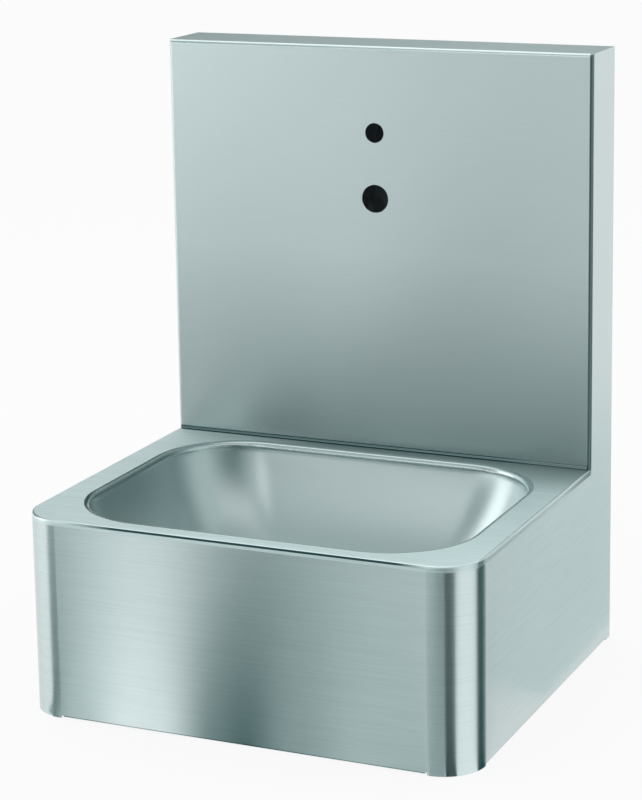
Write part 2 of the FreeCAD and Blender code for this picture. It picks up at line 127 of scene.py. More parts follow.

# Where the painted shade starts and ends: the apron's fold by its slope, the rest in metres
FOLD_SLOPES = (-0.95, -0.15)
PAINTED_REFLECTION_HEIGHTS = (DECK_TOP - 2.1 * MM, DECK_TOP - 0.6 * MM)
PAINTED_REFLECTION_BACK = APRON_FRONT + 2 * MM
PAINTED_REFLECTION_LEFT_END = (-0.11, -0.16)
PAINTED_REFLECTION_RIGHT_END = (0.14, 0.165)
RIM_ACROSS = (HALF_WIDTH - 2.0 * MM, HALF_WIDTH - 0.5 * MM)
STRIP_DEPTHS = (SPLASH_FRONT, SPLASH_FRONT - 80 * MM)
STRIP_LEFT_END = (-0.05, -0.20)
FOOT_TOP = DECK_TOP + 3.0 * MM
FOOT_EDGE = 0.8 * MM
FOOT_RIGHT_END = (0.12, 0.24)
FOOT_BACK = SPLASH_FRONT + 0.5 * MM
BEND_ACROSS = (HALF_WIDTH - 2.8 * MM, HALF_WIDTH - 0.4 * MM)
BEND_BACK = SPLASH_FRONT + 1.9 * MM
DIM_HEIGHTS = (DECK_TOP, DECK_TOP + 180 * MM)

# Brushed steel: scale of the grain along each axis, the way across it, and the tilts of level faces and bends
UPRIGHT_GRAIN = (18, 18, 900)
LEVEL_GRAIN = (18, 900, 18)
UPRIGHT_TANGENT = (0, 0, 1)
LEVEL_TANGENT = (0, 1, 0)
LEVEL_TILT = 0.75
BEND_TILTS = (0.06, 0.99)

# How much of the roughness is left on bends and dressed edges, and on the bowl's lip
BEND_GLOSS = 0.7
LIP_GLOSS = 0.75

# Noise of the finishes: scale, detail and roughness
GRAIN_NOISE = (1.0, 3, 0.6)
STEEL_CLOUD = (9.0, 2, 0.5)
SATIN_SPECK = (900.0, 2, 0.6)
SATIN_CLOUD = (14.0, 3, 0.5)
PLASTIC_SPECK = (700.0, 4, 0.6)
PLASTIC_CLOUD = (30.0, 3, 0.5)
ZINC_SPECK = (600.0, 2, 0.5)
PAD_SPECK = (500.0, 4, 0.6)

# Share of the cloud in the tone of a metal, and of the specks in the relief of zinc and pads
STEEL_CLOUD_SHARE = 0.15
SATIN_CLOUD_SHARE = 0.4
ZINC_SPECK_SHARE = 0.2
PAD_SPECK_SHARE = 0.3

# Spread of the roughness: as a share of it on metals, and as a difference on rubber and plastic
METAL_SPREAD = 0.08
ZINC_SPREAD = 0.2
PLASTIC_SPREAD = 0.08
PAD_SPREAD = 0.1

# Bump of the finishes: strength and depth
GRAIN_BUMP = (0.06, 0.2 * MM)
SATIN_BUMP = (0.02, 0.2 * MM)
PLASTIC_BUMP = (0.25, 0.3 * MM)
ZINC_BUMP = (0.2, 0.3 * MM)
PAD_BUMP = (0.6, 0.6 * MM)

# Zinc: scale and stretch of its crystals, and the spot welds along the lock rail with the tone in them
CRYSTAL_SCALE = 130.0
CRYSTAL_STRETCH = (1.0, 1.0, 0.6)
WELD_PITCH = 80 * MM
WELD_ROW_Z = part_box("plate_lock_rail")[1].z - 12 * MM
WELD_RADII = (2.1 * MM, 3.5 * MM)
WELD_TONE = 0.45

# Damping mats: pitch of their squares, width of a groove's flank, and darkest and lightest tone, the darkest
# painted into the grooves as painted shade
WAFFLE_PITCH = 7 * MM
GROOVE_FLANK = WAFFLE_PITCH / 6
PAD_TONES = (0.6, 1.3)

# Boxes of the nodes that get turned and threaded details
PAN_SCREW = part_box("strainer_screw")
CAP_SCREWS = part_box("locking_screws")
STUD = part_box("earth_stud")
EARTH_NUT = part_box("earth_nut")
WELD_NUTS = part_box("weld_nuts")
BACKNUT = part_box("waste_backnut")
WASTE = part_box("waste_body")
TIE_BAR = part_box("tie_bar")
TURN_STEPS = 96
SHARP_ANGLE = math.radians(28)

# Threads: depth and pitch, the plain length before and after them, and one turn as shares of the pitch
PAN_THREAD = (0.35 * MM, 0.8 * MM)
SCREW_THREAD = (0.5 * MM, 1.0 * MM)
NUT_THREAD = (0.4 * MM, 1.0 * MM)
PIPE_THREAD = (1.2 * MM, 2.309 * MM)
THREAD_END = 0.6 * MM
CREST_SHARES = (0.44, 0.56)
ROOT_SHARES = (0.06, 0.94)

# Strainer's screw: insets from the head's rim with heights above its seat, and half sizes of the cross recess
PAN_PROFILE = millimetres((0.1, 0.0), (0.0, 0.3), (0.0, 1.0), (0.5, 1.7), (1.5, 2.2))
PAN_HEIGHT = 2.4 * MM
PAN_FLAT = 2.9 * MM
PAN_SHANK = 2.5 * MM
PAN_TIP = 1.9 * MM
PAN_LEAD_IN = 0.4 * MM
CROSS_MOUTH = (2.6 * MM, 0.6 * MM)
CROSS_FLOOR = (1.6 * MM, 0.4 * MM)
CROSS_DEPTH = 1.5 * MM

# Locking screws: insets from the head's rim with heights above its lower face, and the hexagon socket
CAP_PROFILE = millimetres((0.6, 0.0), (0.0, 0.6), (0.0, 3.8), (0.2, 4.0))
CAP_SHANK = 3.0 * MM
CAP_TIP = 2.2 * MM
SOCKET_FLATS = 5.0 * MM
SOCKET_CORNER = 3.0 * MM
SOCKET_RIM = 3.2 * MM
SOCKET_EDGE = 0.2 * MM
SOCKET_DEPTH = 2.4 * MM

# Nuts: bore, turned face beside the flats, height of the turned corners beside their width, and thread's ends
NUT_BORE = 3.3 * MM
NUT_FACE = 0.97
NUT_CORNER = 0.5
NUT_END_SHARE = 0.05

# Earth stud: plain foot, and the end of the thread with its chamfer
STUD_FOOT = 0.6 * MM
STUD_END = 0.8 * MM

# Waste: insets from the flange's rim with depths below its top, seat of the strainer, and tail
FLANGE_PROFILE = millimetres((1.6, 0.0), (0.5, 0.4), (0.0, 1.2), (0.0, 3.6), (0.4, 4.0))
SEAT_INSET = 4.2 * MM
SEAT_DEPTH = 2.2 * MM
PIPE_RADIUS = 20.955 * MM
PIPE_WALL = 3.4 * MM
PIPE_CLEARANCE = 0.2 * MM
PIPE_NECK = 1.0 * MM
PIPE_RELIEF = (22.0 * MM, 25.0 * MM)
PIPE_END = 0.8 * MM
PIPE_CHAMFER = 1.4 * MM
BORE_CHAMFER = (0.3 * MM, 0.4 * MM)

# Bridge across the waste, which the strainer's screw goes into
BRIDGE_HEIGHT = 8.0 * MM
BRIDGE_EDGE = 0.4 * MM
BOSS_BORE = 2.8 * MM
BOSS_RADIUS = 5.5 * MM
BAR_HALF_WIDTH = 3.5 * MM
BAR_ENDS = (5.0 * MM, 18.6 * MM)

# Weld beads of the tie bar: radius, pitch, how far they are sunk in, and the turn and stretch of each drop
BEAD_RADIUS = 1.3 * MM
BEAD_PITCH = 1.7 * MM
BEAD_SUNK = 0.3 * MM
BEAD_TURN = 0.7
BEAD_STRETCH = (1.0, 1.05, 0.95, 1.0)
BEAD_SEGMENTS = 16
BEAD_RINGS = 10

# Floor, how white it is to rays that see it directly, and the world's light on the object
FLOOR_Z = cad_box[0].z - 0.5 * MM
STAGE_SIZE = 40.0
FLOOR_COLOUR = (0.8, 0.8, 0.8, 1)
FLOOR_ROUGHNESS = 0.9
FLOOR_WHITE = 0.88
WORLD_LIGHT = 0.9

# Cards lie a little above the floor, and the grey ones have less red
CARD_Z = FLOOR_Z + 0.4 * MM
FAN_Z = FLOOR_Z + 0.8 * MM
CARD_STEPS = 6
RED_LOSS = 0.08

# Cards that the apron's corners mirror: place, first and last bearing in degrees, reach, and level
CORNER_CARDS = {
    "card_left": (-CORNER_X, 31, 54, 1.3, 0.06),
    "card_centre": (CORNER_X, -22, 18, 1.0, 0.5),
    "card_camera_side": (CORNER_X, -52, -24, 3.0, 0.03),
    "card_corner": (CORNER_X, -112, -55, 1.0, 1.2),
    "card_right": (CORNER_X, -152, -116, 3.0, 0.06),
}

# Cards around a point: the point, first and last bearing, nearest and furthest distance, and level
WEDGES = {
    "card_back_right": (HALF_WIDTH, APRON_FRONT, -178, -160, 0.2, 1.1, 0.8),
    "card_far_right": (CORNER_X, CORNER_Y, -60, -5, 0.9, 3.0, 0.06),
}

# Rays of light and dark before the apron: the point behind that they come from, and place and level of each
FAN_X = 0.853
FAN_BEHIND = 1.73
FAN_REACH = 1.0
FAN_EDGES = (-0.19, 0.165)
FAN_STOPS = [
    (-0.18, 0.15),
    (-0.15, 0.7),
    (-0.10, 1.2),
    (-0.075, 1.15),
    (-0.02, 0.2),
    (0.005, 0.08),
    (0.05, 0.38),
    (0.11, 0.66),
    (0.17, 0.62),
]

# Studio panels on a wide dome: first and last bearing, lower and upper height in degrees, and level
DOME_RADIUS = 8.0
DOME_STEP = 5.0
PANELS = {
    "panel_front_low": (-30, 25, 0, 8, 0.05),
    "panel_front_right": (-60, -45, 0, 35, 0.5),
    "panel_front_middle": (-45, -15, 8, 35, 0.2),
    "panel_front_centre": (-15, 5, 8, 35, 0.6),
    "panel_front_left": (5, 25, 8, 35, 1.3),
    "panel_front_high": (0, 60, 35, 75, 0.6),
    "panel_left_low": (25, 60, 0, 8, 2.7),
    "panel_left_front": (25, 60, 8, 35, 0.5),
    "panel_left": (60, 90, 0, 35, 2.2),
    "panel_left_back": (90, 135, 8, 55, 0.05),
    "panel_back_left": (135, 180, 8, 35, 0.05),
    "panel_back_right": (-180, -150, 20, 55, 2.0),
    "panel_right_back": (-150, -110, 0, 55, 0.25),
    "panel_right": (-110, -60, 0, 55, 0.8),
    "panel_right_high": (-120, 0, 55, 75, 0.45),
}

# Overhead lamp
LAMP_PLACE = Vector((-0.55, 0.35, 1.7))
LAMP_TARGET = Vector((0, -0.2, 0))
LAMP_SIZE = 1.9
LAMP_RADIANCE = 0.6


def connect(tree, socket, value):
    """Link a socket to another node's output, or set it to a plain value."""
    if isinstance(value, bpy.types.NodeSocket):
        tree.links.new(value, socket)
    else:
        socket.default_value = value


def feed(tree, node, **inputs):
    """Connect the inputs of a node, named with an underscore for each space."""
    for name, value in inputs.items():
        connect(tree, node.inputs[name.replace("_", " ")], value)


def add_node(tree, kind, **inputs):
    node = tree.nodes.new(kind)
    feed(tree, node, **inputs)
    return node


def math_node(tree, operation, *values):
    node = tree.nodes.new("ShaderNodeMath")
    node.operation = operation
    for socket, value in zip(node.inputs, values):
        connect(tree, socket, value)
    return node.outputs[0]


def product(tree, *values):
    total = values[0]
    for value in values[1:]:
        total = math_node(tree, "MULTIPLY", total, value)
    return total


def greatest(tree, *values):
    total = values[0]
    for value in values[1:]:
        total = math_node(tree, "MAXIMUM", total, value)
    return total


def blended(tree, first, second, share):
    """Two values mixed, with the second one's share given."""
    return math_node(tree, "ADD", product(tree, first, 1 - share), product(tree, second, share))


def ranged(tree, value, start, end, first, last):
    """From first to last while the value goes from start to end, and held beyond."""
    node = add_node(
        tree, "ShaderNodeMapRange", Value=value, From_Min=start, From_Max=end, To_Min=first, To_Max=last
    )
    return node.outputs["Result"]


def remap(tree, value, low, high):
    """The value, from 0 to 1, spread between low and high."""
    return ranged(tree, value, 0.0, 1.0, low, high)


def fade(tree, value, start, end):
    """From one at the start to nothing at the end."""
    return ranged(tree, value, start, end, 1.0, 0.0)


def band(tree, value, low, high):
    """One between two limits, fading to nothing over a sixth of the width beyond them."""
    centre = (low + high) / 2
    half_width = (high - low) / 2
    offset = math_node(tree, "ABSOLUTE", math_node(tree, "SUBTRACT", value, centre))
    return fade(tree, offset, half_width, half_width * BAND_REACH)


def axes(tree, vector):
    """The three parts of a vector."""
    return add_node(tree, "ShaderNodeSeparateXYZ", Vector=vector).outputs


def scaled(tree, vector, factors):
    return add_node(tree, "ShaderNodeMapping", Vector=vector, Scale=factors).outputs["Vector"]


def mixed_vector(tree, factor, first, second):
    node = tree.nodes.new("ShaderNodeMix")
    node.data_type = "VECTOR"
    for socket, value in ((0, factor), (4, first), (5, second)):
        connect(tree, node.inputs[socket], value)
    return node.outputs[1]


def mixed_colour(tree, factor, first, second):
    node = tree.nodes.new("ShaderNodeMix")
    node.data_type = "RGBA"
    for socket, value in ((0, factor), (6, first), (7, second)):
        connect(tree, node.inputs[socket], (*value, 1) if isinstance(value, tuple) else value)
    return node.outputs[2]


def noise(tree, vector, scale, detail, roughness):
    node = add_node(
        tree, "ShaderNodeTexNoise", Vector=vector, Scale=scale, Detail=detail, Roughness=roughness
    )
    return node.outputs["Fac"]


def bumped(tree, bsdf, height, strength, distance):
    node = add_node(tree, "ShaderNodeBump", Height=height, Strength=strength, Distance=distance)
    feed(tree, bsdf, Normal=node.outputs["Normal"])


def shaded(colour, factor):
    return tuple(channel * factor for channel in colour)


def varied(tree, tone, colour, contrast):
    """A colour that follows a tone, darker and lighter by the contrast."""
    return mixed_colour(tree, tone, shaded(colour, 1 - contrast), shaded(colour, 1 + contrast))


def roughened(tree, value, roughness, spread):
    """A roughness that follows a value, lower and higher by a share of itself."""
    return remap(tree, value, roughness * (1 - spread), roughness * (1 + spread))


def new_material(name):
    material = bpy.data.materials.new(name)
    material.use_nodes = True
    tree = material.node_tree
    place = tree.nodes.new("ShaderNodeTexCoord").outputs
    return material, tree, tree.nodes["Principled BSDF"], place


def apron_shade(tree, x, y, z, slope):
    """Painted shade on the fold along the lower edge, which faces down."""
    return product(tree, band(tree, slope, *FOLD_SLOPES), FOLD_SHADE)


def deck_shade(tree, x, y, z, slope):
    """Painted shade: a fine dark reflection under the front edge, the right edge, and the strip along the
    splashback.
    """
    front = math_node(tree, "LESS_THAN", y, PAINTED_REFLECTION_BACK)
    ends = product(tree, fade(tree, x, *PAINTED_REFLECTION_LEFT_END), fade(tree, x, *PAINTED_REFLECTION_RIGHT_END))
    # Painted dark reflection: a fine dark line under the front edge, fading out at both ends
    painted_reflection = product(tree, band(tree, z, *PAINTED_REFLECTION_HEIGHTS), front, ends)
    # Painted shade on the rounded right edge, over its highlight
    rim = product(tree, band(tree, x, *RIM_ACROSS), RIM_SHADE)
    # Painted shade on the strip along the splashback, fading towards the front and the left
    strip = product(tree, fade(tree, y, *STRIP_DEPTHS), fade(tree, x, *STRIP_LEFT_END), STRIP_SHADE)
    return greatest(tree, painted_reflection, rim, strip)


def splash_shade(tree, x, y, z, slope):
    """Dark seams at the two edges of the dressed weld at the foot, and painted shade on the whole weld, the
    right hand bend and the lower part.
    """
    front = math_node(tree, "LESS_THAN", y, FOOT_BACK)
    # The two edges of the weld drawn dark as seams, fading towards the right
    upper = band(tree, z, FOOT_TOP - FOOT_EDGE, FOOT_TOP)
    lower = band(tree, z, DECK_TOP, DECK_TOP + FOOT_EDGE)
    edges = product(tree, greatest(tree, upper, lower), fade(tree, x, *FOOT_RIGHT_END))
    # Painted shade over the whole weld at the foot
    weld = product(tree, band(tree, z, DECK_TOP, FOOT_TOP), FOOT_SHADE)
    foot = product(tree, greatest(tree, edges, weld), front)
    # Painted dark reflection on the right hand bend
    near = math_node(tree, "LESS_THAN", y, BEND_BACK)
    bend = product(tree, band(tree, x, *BEND_ACROSS), near, BEND_SHADE)
    # Painted shade on the lower part, darker towards the foot
    dim = product(tree, fade(tree, z, *DIM_HEIGHTS), front, DIM_SHADE)
    return greatest(tree, foot, bend, dim)


def brushed_steel(name, colour, roughness, anisotropy, contrast, shade):
    """Steel ground along one line: level on upright faces and across the width on level faces."""
    material, tree, bsdf, place = new_material(name)
    slope = axes(tree, place["Normal"])["Z"]
    tilt = math_node(tree, "ABSOLUTE", slope)
    level = math_node(tree, "GREATER_THAN", tilt, LEVEL_TILT)
    not_upright = math_node(tree, "GREATER_THAN", tilt, BEND_TILTS[0])
    not_level = math_node(tree, "LESS_THAN", tilt, BEND_TILTS[1])
    gloss = remap(tree, product(tree, not_upright, not_level), 1.0, BEND_GLOSS)
    upright_grain = scaled(tree, place["Object"], UPRIGHT_GRAIN)
    level_grain = scaled(tree, place["Object"], LEVEL_GRAIN)
    grain = noise(tree, mixed_vector(tree, level, upright_grain, level_grain), *GRAIN_NOISE)
    cloud = noise(tree, place["Object"], *STEEL_CLOUD)
    base = varied(tree, blended(tree, grain, cloud, STEEL_CLOUD_SHARE), colour, contrast)
    # Painted shade: the places that the part's shade function gives are mixed towards the dark colour of
    # seams and painted shade
    shadow = shade(tree, *axes(tree, place["Object"]), slope)
    dull = product(tree, roughened(tree, grain, roughness, METAL_SPREAD), gloss)
    across = mixed_vector(tree, level, UPRIGHT_TANGENT, LEVEL_TANGENT)
    feed(tree, bsdf, Base_Color=mixed_colour(tree, shadow, base, SEAM_AND_PAINTED_SHADE_COLOUR), Roughness=dull)
    feed(tree, bsdf, Metallic=1.0, Anisotropic=anisotropy, Tangent=across)
    bumped(tree, bsdf, grain, *GRAIN_BUMP)
    return material


def satin_metal(name, colour, roughness, contrast, polished_above=None):
    """Metal with a fine even finish, and brighter above a height where one is given."""
    material, tree, bsdf, place = new_material(name)
    speck = noise(tree, place["Object"], *SATIN_SPECK)
    cloud = noise(tree, place["Object"], *SATIN_CLOUD)
    base = varied(tree, blended(tree, speck, cloud, SATIN_CLOUD_SHARE), colour, contrast)
    dull = roughened(tree, cloud, roughness, METAL_SPREAD)
    if polished_above is not None:
        polished = math_node(tree, "GREATER_THAN", axes(tree, place["Object"])["Z"], polished_above)
        dull = product(tree, dull, remap(tree, polished, 1.0, LIP_GLOSS))
    feed(tree, bsdf, Base_Color=base, Roughness=dull, Metallic=1.0)
    bumped(tree, bsdf, speck, *SATIN_BUMP)
    return material


def soft_plastic(name, colour, roughness, contrast):
    """Rubber or plastic with a fine dull grain."""
    material, tree, bsdf, place = new_material(name)
    speck = noise(tree, place["Object"], *PLASTIC_SPECK)
    cloud = noise(tree, place["Object"], *PLASTIC_CLOUD)
    dull = remap(tree, speck, roughness - PLASTIC_SPREAD, roughness + PLASTIC_SPREAD)
    feed(tree, bsdf, Base_Color=varied(tree, cloud, colour, contrast), Roughness=dull)
    bumped(tree, bsdf, speck, *PLASTIC_BUMP)
    return material


def spot_welds(tree, place):
    """The tone around the spot welds: low at the middle of each and one outside."""
    x, y, z = axes(tree, place)
    along = math_node(tree, "SUBTRACT", math_node(tree, "PINGPONG", x, WELD_PITCH / 2), WELD_PITCH / 4)
    height = math_node(tree, "SUBTRACT", z, WELD_ROW_Z)
    square = math_node(tree, "ADD", product(tree, along, along), product(tree, height, height))
    return ranged(tree, math_node(tree, "SQRT", square), *WELD_RADII, WELD_TONE, 1.0)


def zinc_plate(name, colour, roughness, contrast):
    """Hot-dipped zinc: flat crystals of a few millimetres, with a row of spot welds along the lock rail."""
    material, tree, bsdf, place = new_material(name)
    stretched = scaled(tree, place["Object"], CRYSTAL_STRETCH)
    crystal = add_node(tree, "ShaderNodeTexVoronoi", Vector=stretched, Scale=CRYSTAL_SCALE, Randomness=1.0)
    tones = add_node(tree, "ShaderNodeSeparateColor", Color=crystal.outputs["Color"]).outputs
    weld = spot_welds(tree, place["Object"])
    speck = noise(tree, place["Object"], *ZINC_SPECK)
    base = varied(tree, product(tree, tones[0], weld), colour, contrast)
    dull = roughened(tree, tones[1], roughness, ZINC_SPREAD)
    feed(tree, bsdf, Base_Color=base, Roughness=dull, Metallic=1.0)
    bumped(tree, bsdf, math_node(tree, "ADD", weld, product(tree, speck, ZINC_SPECK_SHARE)), *ZINC_BUMP)
    return material


def waffle_pad(name, colour, roughness):
    """Heavy damping mat with a pressed square pattern."""
    material, tree, bsdf, place = new_material(name)
    x, y, z = axes(tree, place["Object"])
    across = math_node(tree, "PINGPONG", y, WAFFLE_PITCH / 2)
    down = math_node(tree, "PINGPONG", z, WAFFLE_PITCH / 2)
    near = math_node(tree, "DIVIDE", math_node(tree, "MINIMUM", across, down), GROOVE_FLANK)
    groove = math_node(tree, "MINIMUM", near, 1.0)
    speck = noise(tree, place["Object"], *PAD_SPECK)
    darkest, lightest = PAD_TONES
    # Painted shade: darker in the grooves, with random specks of tone
    tone = product(tree, groove, speck)
    base = mixed_colour(tree, tone, shaded(colour, darkest), shaded(colour, lightest))
    dull = remap(tree, speck, roughness - PAD_SPREAD, roughness + PAD_SPREAD)
    feed(tree, bsdf, Base_Color=base, Roughness=dull)
    bumped(tree, bsdf, math_node(tree, "ADD", groove, product(tree, speck, PAD_SPECK_SHARE)), *PAD_BUMP)
    return material


# Finishes: colour, roughness, then anisotropy where it is brushed, the contrast of its tones, then the
# painted shade of each brushed steel, and the height above which the bowl is polished
STEEL = (0.58, 0.672, 0.672)
# The same steel made lighter for the deck, painted light on its top, and darker for the bowl and the
# strainer, painted shade
STEEL_PAINTED_LIGHTER = shaded(STEEL, 1.2)
STEEL_PAINTED_DARKER = shaded(STEEL, 0.9)
PLAIN_STEEL = (0.55, 0.56, 0.57)
MATERIALS = {
    "apron": brushed_steel("apron_steel", STEEL, 0.32, 0.8, 0.14, apron_shade),
    "splashback": brushed_steel("splash_steel", STEEL, 0.32, 0.74, 0.05, splash_shade),
    "deck": brushed_steel("deck_steel", STEEL_PAINTED_LIGHTER, 0.55, 0.5, 0.24, deck_shade),
    "bowl": satin_metal("bowl_steel", STEEL_PAINTED_DARKER, 0.32, 0.04, BOWL_NECK),
    "sound_pads": waffle_pad("pad_rubber", (0.07, 0.07, 0.07), 0.75),
    "bracket": satin_metal("bracket_steel", PLAIN_STEEL, 0.45, 0.12),
    "zinc": zinc_plate("bracket_zinc", PLAIN_STEEL, 0.42, 0.22),
    "fastener": satin_metal("fastener_steel", (0.6, 0.61, 0.62), 0.3, 0.08),
    "chrome": satin_metal("waste_chrome", (0.72, 0.73, 0.74), 0.1, 0.03),
    "brass": satin_metal("nut_brass", (0.72, 0.58, 0.3), 0.3, 0.08),
    "seal": soft_plastic("seal_rubber", (0.03, 0.03, 0.03), 0.7, 0.2),
    "washer": soft_plastic("washer_plastic", (0.85, 0.85, 0.82), 0.5, 0.04),
    "strainer": satin_metal("strainer_steel", STEEL_PAINTED_DARKER, 0.24, 0.04),
    "weld": satin_metal("weld_steel", (0.42, 0.4, 0.38), 0.35, 0.3),
}
NODE_MATERIALS = {
    "apron": "apron",
    "splashback": "splashback",
    "deck": "deck",
    "bowl": "bowl",
    "sound_pads": "sound_pads",
    "hanging_rail": "bracket",
    "tie_bar": "bracket",
    "wall_plate": "zinc",
    "plate_hook_rail": "zinc",
    "plate_lock_rail": "zinc",
    "weld_nuts": "fastener",
    "earth_stud": "fastener",
    "earth_washer": "fastener",
    "earth_nut": "fastener",
    "strainer_screw": "fastener",
    "locking_screws": "fastener",
    "locking_washers": "fastener",
    "waste_body": "chrome",
    "waste_backnut": "brass",
    "waste_upper_seal": "seal",
    "waste_lower_seal": "seal",
    "waste_friction_washer": "washer",
    "strainer_plate": "strainer",
}
for node, kind in NODE_MATERIALS.items():
    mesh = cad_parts[node].data
    mesh.materials.clear()
    mesh.materials.append(MATERIALS[kind])


def middle(box):
    return (box[0] + box[1]) / 2


def extent(box):
    return box[1] - box[0]


def standing(box, x):
    """The place of a turned piece that stands on the box's lower face."""
    return Matrix.Translation((x, middle(box).y, box[0].z))


def lying(box):
    """The place of a turned piece that points from the box's back face to the front."""
    centre = middle(box)
    return Matrix.Translation((centre.x, box[1].y, centre.z)) @ Matrix.Rotation(math.pi / 2, 4, "X")


def hexagon_reach(across_flats, corner_radius):
    """How far a hexagon with cut corners reaches at an angle."""
    def reach(angle):
        turn = angle % (math.pi / 3) - math.pi / 6
        return min(across_flats / 2 / math.cos(turn), corner_radius)
    return reach


def cross_reach(half_length, half_width):
    """How far a cross-shaped recess reaches at an angle."""
    def reach(angle):
        turn = (angle + math.pi / 4) % (math.pi / 2) - math.pi / 4
        side = abs(math.sin(turn))
        return half_length if side * half_length < half_width else half_width / side
    return reach


def turned(form, rings, place, hollow=False, steps=TURN_STEPS):
    """Add rings of a radius and a height, joined in order, to a form."""
    loops = []
    for reach, height in rings:
        loop = []
        for step in range(steps):
            angle = 2 * math.pi * step / steps
            radius = reach(angle) if callable(reach) else reach
            point = Vector((radius * math.cos(angle), radius * math.sin(angle), height))
            loop.append(form.verts.new(place @ point))
        loops.append(loop)
    pairs = list(zip(loops, loops[1:]))
    if hollow:
        pairs.append((loops[-1], loops[0]))
    else:
        form.faces.new(loops[0])
        form.faces.new(loops[-1])
    for lower, upper in pairs:
        for step in range(steps):
            after = (step + 1) % steps
            form.faces.new((lower[step], lower[after], upper[after], upper[step]))


def thread(radius, start, end, depth, pitch):
    """Rings of a screw thread between two heights."""
    turns = round(abs(end - start) / pitch)
    lead = (end - start) / turns
    root = radius - depth
    rings = []
    for turn in range(turns):
        low = start + lead * turn
        rings.append((root, low + ROOT_SHARES[0] * lead))
        rings.append((radius, low + CREST_SHARES[0] * lead))
        rings.append((radius, low + CREST_SHARES[1] * lead))
        rings.append((root, low + ROOT_SHARES[1] * lead))
    return rings


def piece(name, form, body, kind, slot, *nodes):
    """A finished piece on its body, standing for the nodes named last."""
    bmesh.ops.recalc_face_normals(form, faces=form.faces)
    mesh = bpy.data.meshes.new(name)
    form.to_mesh(mesh)
    form.free()
    for polygon in mesh.polygons:
        polygon.use_smooth = True
    mesh.set_sharp_from_angle(angle=SHARP_ANGLE)
    mesh.materials.append(MATERIALS[kind])
    obj = bpy.data.objects.new(name, mesh)
    bpy.context.scene.collection.objects.link(obj)
    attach(obj, body)
    if nodes:
        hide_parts(*nodes)


def strainer_screw():
    """Pan head with a cross recess."""
    form = bmesh.new()
    head = extent(PAN_SCREW).x / 2
    top = extent(PAN_SCREW).z
    seat = top - PAN_HEIGHT
    rings = [(PAN_TIP, 0.0)]
    rings += thread(PAN_SHANK, PAN_LEAD_IN, seat - THREAD_END, *PAN_THREAD)
    rings += [(PAN_SHANK, seat)]
    rings += [(head - inset, seat + rise) for inset, rise in PAN_PROFILE]
    rings += [(PAN_FLAT, top), (cross_reach(*CROSS_MOUTH), top)]
    rings += [(cross_reach(*CROSS_FLOOR), top - CROSS_DEPTH)]
    turned(form, rings, standing(PAN_SCREW, middle(PAN_SCREW).x))
    piece("strainer_pan_screw", form, "strainer", "fastener", "fastener_steel", "strainer_screw")


def locking_screws():
    """Low cap heads with a hexagon socket, driven from below."""
    form = bmesh.new()
    head = extent(CAP_SCREWS).y / 2
    spread = CAP_SCREWS[1].x - head
    end = extent(CAP_SCREWS).z
    seat = CAP_PROFILE[-1][1]
    socket = hexagon_reach(SOCKET_FLATS, SOCKET_CORNER)
    rings = [(socket, SOCKET_DEPTH), (socket, SOCKET_EDGE), (SOCKET_RIM, 0.0)]
    rings += [(head - inset, rise) for inset, rise in CAP_PROFILE]
    rings += [(CAP_SHANK, seat)]
    rings += thread(CAP_SHANK, seat + THREAD_END, end - THREAD_END, *SCREW_THREAD)
    rings += [(CAP_TIP, end)]
    for x in (-spread, spread):
        turned(form, rings, standing(CAP_SCREWS, x))
    piece("locking_cap_screws", form, "wall_bracket", "fastener", "fastener_steel", "locking_screws")


def nut_rings(across_flats, height, bore, depth, pitch):
    """A hexagon nut with turned corners and a threaded bore."""
    full = across_flats / math.sqrt(3)
    face = across_flats / 2 * NUT_FACE
    drop = (full - face) * NUT_CORNER
    mouth = bore + depth
    faces = hexagon_reach(across_flats, face)
    corners = hexagon_reach(across_flats, full)
    end = NUT_END_SHARE * pitch
    rings = [(mouth, 0.0), (faces, 0.0), (corners, drop)]
    rings += [(corners, height - drop), (faces, height), (mouth, height)]
    return rings + thread(mouth, height - end, end, depth, pitch)


def nut_piece(name, rings, places, kind, slot, node):
    """One or more nuts as one piece of the basin."""
    form = bmesh.new()
    for place in places:
        turned(form, rings, place, hollow=True)
    piece(name, form, "basin", kind, slot, node)


def nuts():
    """The two weld nuts and the earth nut, which are alike, and the backnut of the waste."""
    flats = extent(WELD_NUTS).y
    spread = WELD_NUTS[1].x - flats / math.sqrt(3)
    rings = nut_rings(flats, extent(WELD_NUTS).z, NUT_BORE, *NUT_THREAD)
    pair = [standing(WELD_NUTS, x) for x in (-spread, spread)]
    nut_piece("weld_nuts_threaded", rings, pair, "fastener", "fastener_steel", "weld_nuts")
    nut_piece("earth_nut_threaded", rings, [lying(EARTH_NUT)], "fastener", "fastener_steel", "earth_nut")
    rings = nut_rings(extent(BACKNUT).y, extent(BACKNUT).z, PIPE_RADIUS + PIPE_CLEARANCE, *PIPE_THREAD)
    place = standing(BACKNUT, middle(BACKNUT).x)
    nut_piece("waste_backnut_threaded", rings, [place], "brass", "nut_brass", "waste_backnut")


def earth_stud():
    """Threaded stud that points to the front."""
    form = bmesh.new()
    length = extent(STUD).y
    radius = extent(STUD).x / 2
    rings = [(radius, 0.0), (radius, STUD_FOOT)]
    rings += thread(radius, STUD_END, length - STUD_END, *SCREW_THREAD)
    rings += [(radius - STUD_END, length)]
    turned(form, rings, lying(STUD))
    piece("earth_stud_threaded", form, "basin", "fastener", "fastener_steel", "earth_stud")


